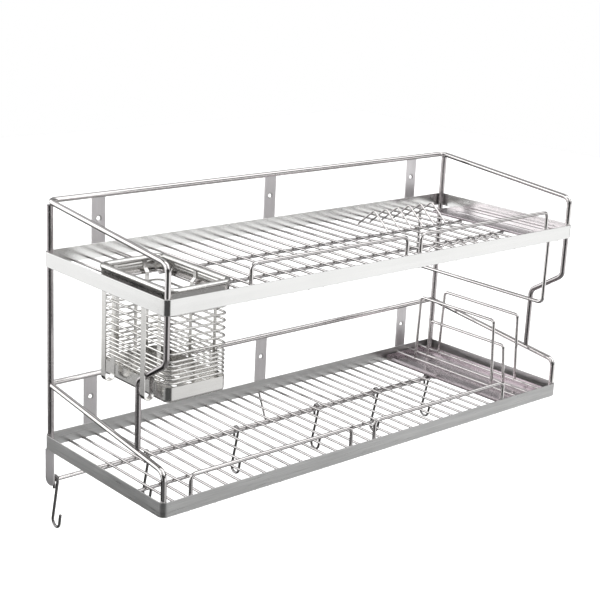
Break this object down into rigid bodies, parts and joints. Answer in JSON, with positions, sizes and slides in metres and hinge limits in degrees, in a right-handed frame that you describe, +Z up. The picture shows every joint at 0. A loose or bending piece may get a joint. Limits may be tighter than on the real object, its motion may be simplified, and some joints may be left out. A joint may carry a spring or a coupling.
{
  "type": "dish drying rack",
  "caption": "Two-shelf wall-hung steel dish drying rack with cutlery basket, drip tray, lid dividers and S hooks on a rail.",
  "frame": {"origin": "centre of the middle screw hole of the lower row of wall strips, on the wall plane", "axes": "+X along the rack to the right seen from the front, -Y towards the front, +Z up"},
  "size_m": [0.8, 0.288, 0.4862],
  "materials": {
    "polished_band": "polished",
    "basket_steel": "polished",
    "tray_steel": "satin",
    "strip_steel": "satin",
    "rod_steel": "polished"
  },
  "bodies": {
    "rack": {"basket_carrier": "rod_steel", "board_hook_front": "strip_steel", "board_hook_rear": "strip_steel", "divider_base_wires": "rod_steel", "front_guard_lower_left": "rod_steel", "front_guard_lower_right": "rod_steel", "front_guard_upper_left": "rod_steel", "front_guard_upper_right": "rod_steel", "front_strut_left": "rod_steel", "front_strut_right": "rod_steel", "hanging_side_bar": "rod_steel", "hook_rail": "rod_steel", "hook_rail_end_left": "strip_steel", "hook_rail_end_right": "strip_steel", "hook_rail_stay": "rod_steel", "knife_plate": "tray_steel", "lid_divider_1": "rod_steel", "lid_divider_2": "rod_steel", "lid_divider_3": "rod_steel", "lower_band": "polished_band", "lower_cross_wires": "rod_steel", "lower_long_rods": "rod_steel", "lower_rear_rail": "rod_steel", "lower_side_rail_left": "rod_steel", "lower_side_rail_right": "rod_steel", "plate_rack_wave": "rod_steel", "plate_rack_uprights": "rod_steel", "rear_post_left": "rod_steel", "rear_post_right": "rod_steel", "upper_band": "polished_band", "upper_cross_wires": "rod_steel", "upper_long_rods": "rod_steel", "upper_rear_rail": "rod_steel", "upper_side_rail_left": "rod_steel", "upper_side_rail_right": "rod_steel", "wall_strip_lower_left": "strip_steel", "wall_strip_lower_middle": "strip_steel", "wall_strip_lower_right": "strip_steel", "wall_strip_upper_left": "strip_steel", "wall_strip_upper_middle": "strip_steel", "wall_strip_upper_right": "strip_steel"},
    "basket": {"basket_bars_back": "basket_steel", "basket_bars_left": "basket_steel", "basket_bars_right": "basket_steel", "basket_base_pan": "basket_steel", "basket_rim": "basket_steel", "basket_ring_wires": "basket_steel"},
    "drip_tray": {"drip_tray": "tray_steel"},
    "hook_1": {"s_hook_1": "rod_steel"},
    "hook_2": {"s_hook_2": "rod_steel"},
    "hook_3": {"s_hook_3": "rod_steel"},
    "hook_4": {"s_hook_4": "rod_steel"},
    "hook_5": {"s_hook_5": "rod_steel"},
    "hook_6": {"s_hook_6": "rod_steel"}
  },
  "joints": [
    {"name": "basket_lift", "type": "slide", "parent": "rack", "child": "basket", "axis": [0, 0, 1], "range_m": [0, 0.16]},
    {"name": "drip_tray_slide", "type": "slide", "parent": "rack", "child": "drip_tray", "axis": [-1, 0, 0], "range_m": [0, 0.12]},
    {"name": "hook_1_swing", "type": "hinge", "parent": "rack", "child": "hook_1", "pos_m": [-0.388, -0.014, -0.1085], "axis": [1, 0, 0], "range_deg": [-60, 1]},
    {"name": "hook_2_swing", "type": "hinge", "parent": "rack", "child": "hook_2", "pos_m": [-0.229, -0.014, -0.1085], "axis": [1, 0, 0], "range_deg": [-60, 1]},
    {"name": "hook_3_swing", "type": "hinge", "parent": "rack", "child": "hook_3", "pos_m": [-0.056, -0.014, -0.1085], "axis": [1, 0, 0], "range_deg": [-60, 1]},
    {"name": "hook_4_swing", "type": "hinge", "parent": "rack", "child": "hook_4", "pos_m": [0.117, -0.014, -0.1085], "axis": [1, 0, 0], "range_deg": [-60, 1]},
    {"name": "hook_5_swing", "type": "hinge", "parent": "rack", "child": "hook_5", "pos_m": [0.257, -0.014, -0.1085], "axis": [1, 0, 0], "range_deg": [-60, 1]},
    {"name": "hook_6_swing", "type": "hinge", "parent": "rack", "child": "hook_6", "pos_m": [0.386, -0.014, -0.1085], "axis": [1, 0, 0], "range_deg": [-60, 1]}
  ]
}
